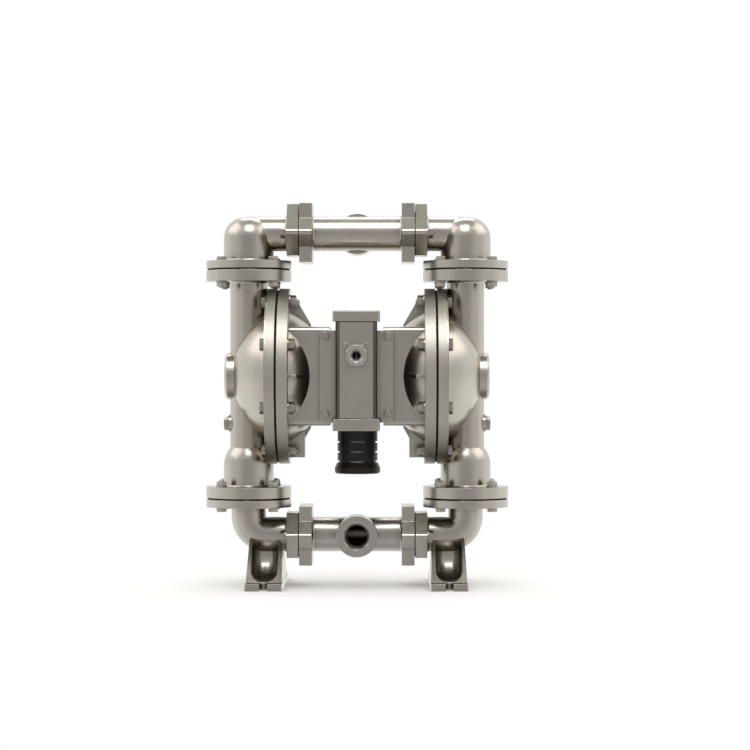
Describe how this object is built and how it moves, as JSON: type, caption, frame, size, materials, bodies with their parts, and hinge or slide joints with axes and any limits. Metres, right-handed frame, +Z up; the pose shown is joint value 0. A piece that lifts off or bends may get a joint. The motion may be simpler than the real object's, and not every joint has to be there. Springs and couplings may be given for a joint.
{
  "type": "air operated diaphragm pump",
  "caption": "Double-diaphragm pump of cast stainless steel: two domed chambers with ball valve columns, suction and discharge manifolds, a central air valve and a hanging muffler.",
  "frame": {"origin": "on the floor under the middle of the pump", "axes": "+X along the diaphragm rod to the right seen from the air valve side, +Y to the rear, +Z up"},
  "size_m": [0.543, 0.315, 0.6839],
  "materials": {
    "cast_stainless": "bead-blasted stainless casting, satin",
    "stainless_fasteners": "stainless hardware, lightly polished",
    "turned_stainless": "turned and ground",
    "plated_steel": "zinc plated",
    "bronze": "sintered bronze",
    "white_ptfe": "smooth, matt",
    "black_rubber": "matt rubber",
    "black_plastic": "moulded, fine grain",
    "porous_plastic": "porous sintered plastic"
  },
  "bodies": {
    "housing": {"outer_chamber_left": "cast_stainless", "outer_chamber_right": "cast_stainless", "inner_chamber_left": "cast_stainless", "inner_chamber_right": "cast_stainless", "suction_elbow_left": "cast_stainless", "suction_elbow_right": "cast_stainless", "discharge_elbow_left": "cast_stainless", "discharge_elbow_right": "cast_stainless", "suction_manifold": "cast_stainless", "discharge_manifold": "cast_stainless", "center_body": "cast_stainless", "air_valve_body": "cast_stainless", "top_valve_cap": "cast_stainless", "bottom_valve_cap": "cast_stainless", "air_inlet_adapter": "cast_stainless", "elbow_bolts": "stainless_fasteners", "elbow_nuts": "stainless_fasteners", "elbow_washers": "stainless_fasteners", "flange_bolts": "stainless_fasteners", "flange_nuts": "stainless_fasteners", "flange_washers": "stainless_fasteners", "manifold_bolts": "stainless_fasteners", "manifold_washers": "stainless_fasteners", "chamber_plugs": "stainless_fasteners", "valve_bolts": "stainless_fasteners", "cap_screws": "stainless_fasteners", "inlet_screws": "stainless_fasteners", "tie_bolts": "stainless_fasteners", "suction_gasket_left": "black_rubber", "suction_gasket_right": "black_rubber", "discharge_gasket_left": "black_rubber", "discharge_gasket_right": "black_rubber", "manifold_gaskets": "black_rubber", "valve_gasket": "black_rubber", "cap_gaskets": "black_rubber", "spool_bumpers": "black_rubber", "rod_seals": "black_rubber", "diaphragm_left": "black_rubber", "diaphragm_right": "black_rubber", "suction_seat_left": "turned_stainless", "suction_seat_right": "turned_stainless", "discharge_seat_left": "turned_stainless", "discharge_seat_right": "turned_stainless", "valve_sleeve": "turned_stainless", "pilot_sleeve": "turned_stainless", "rod_bushings": "bronze", "muffler_body": "black_plastic", "muffler_element": "porous_plastic"},
    "shuttle": {"diaphragm_rod": "turned_stainless", "inner_plate_left": "plated_steel", "inner_plate_right": "plated_steel", "outer_plate_left": "turned_stainless", "outer_plate_right": "turned_stainless"},
    "suction_ball_left": {"suction_ball_left": "white_ptfe"},
    "suction_ball_right": {"suction_ball_right": "white_ptfe"},
    "discharge_ball_left": {"discharge_ball_left": "white_ptfe"},
    "discharge_ball_right": {"discharge_ball_right": "white_ptfe"},
    "air_spool": {"valve_spool": "turned_stainless"},
    "pilot": {"pilot_spool": "turned_stainless", "pilot_plungers": "turned_stainless"}
  },
  "joints": [
    {"name": "rod_stroke", "type": "slide", "parent": "housing", "child": "shuttle", "axis": [1, 0, 0], "range_m": [-0.02, 0.02], "deforming": ["diaphragm_left", "diaphragm_right"]},
    {"name": "suction_ball_left_lift", "type": "slide", "parent": "housing", "child": "suction_ball_left", "axis": [0, 0, 1], "range_m": [0, 0.012]},
    {"name": "suction_ball_right_lift", "type": "slide", "parent": "housing", "child": "suction_ball_right", "axis": [0, 0, 1], "range_m": [0, 0.012]},
    {"name": "discharge_ball_left_lift", "type": "slide", "parent": "housing", "child": "discharge_ball_left", "axis": [0, 0, 1], "range_m": [0, 0.012]},
    {"name": "discharge_ball_right_lift", "type": "slide", "parent": "housing", "child": "discharge_ball_right", "axis": [0, 0, 1], "range_m": [0, 0.012]},
    {"name": "air_spool_shift", "type": "slide", "parent": "housing", "child": "air_spool", "axis": [0, 0, 1], "range_m": [0, 0.012]},
    {"name": "pilot_shift", "type": "slide", "parent": "housing", "child": "pilot", "axis": [1, 0, 0], "range_m": [-0.005, 0.005]}
  ],
  "couplings": [
    {"joint": "pilot_shift", "follows": "rod_stroke", "ratio": 0.25}
  ]
}
